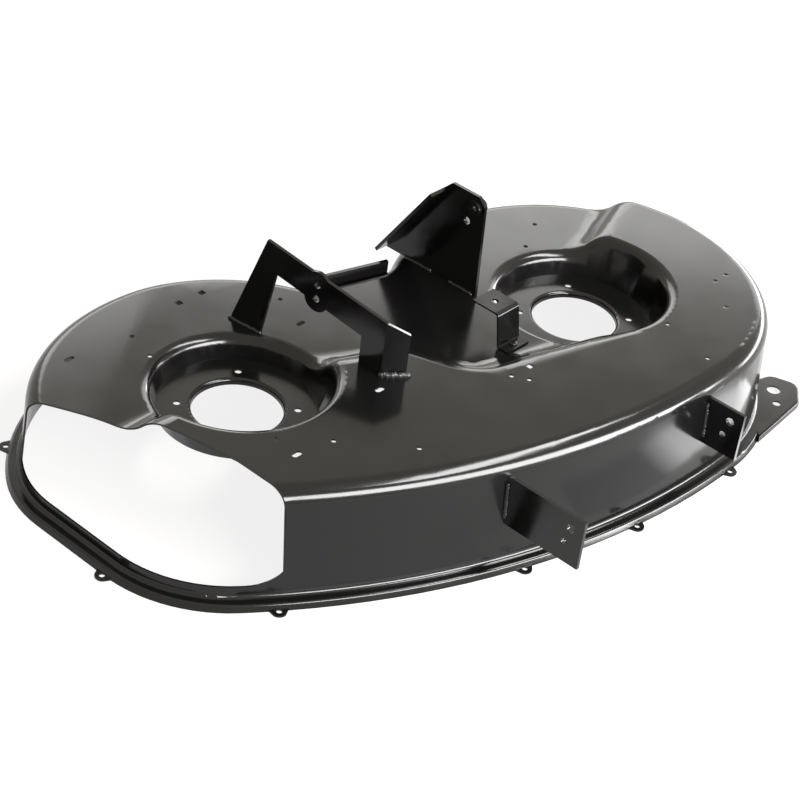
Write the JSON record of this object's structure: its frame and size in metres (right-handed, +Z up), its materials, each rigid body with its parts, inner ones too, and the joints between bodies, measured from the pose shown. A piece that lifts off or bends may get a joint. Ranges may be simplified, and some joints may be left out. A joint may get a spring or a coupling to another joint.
{
  "type": "lawn mower deck",
  "caption": "Stamped steel mower deck shell with spindle pockets, a side discharge mouth, a flanged rim and welded brackets for lift links and idler.",
  "frame": {"origin": "centre of the bounding box in plan, at the lower edge of the rim", "axes": "+X along the cut, away from the discharge mouth; +Y to the rear of the machine, away from the front hangers; +Z up"},
  "size_m": [1.0957, 0.766, 0.282],
  "materials": {
    "deck_paint": "gloss black enamel",
    "bracket_paint": "gloss black enamel"
  },
  "bodies": {
    "root": {"deck_shell": "deck_paint", "front_hanger_left": "bracket_paint", "front_hanger_right": "bracket_paint", "arch_bracket": "bracket_paint", "centre_plate": "bracket_paint", "centre_bushing": "bracket_paint", "keeper_bracket": "bracket_paint", "keeper_rivet": "bracket_paint", "rear_edge_strip": "bracket_paint"}
  },
  "joints": []
}
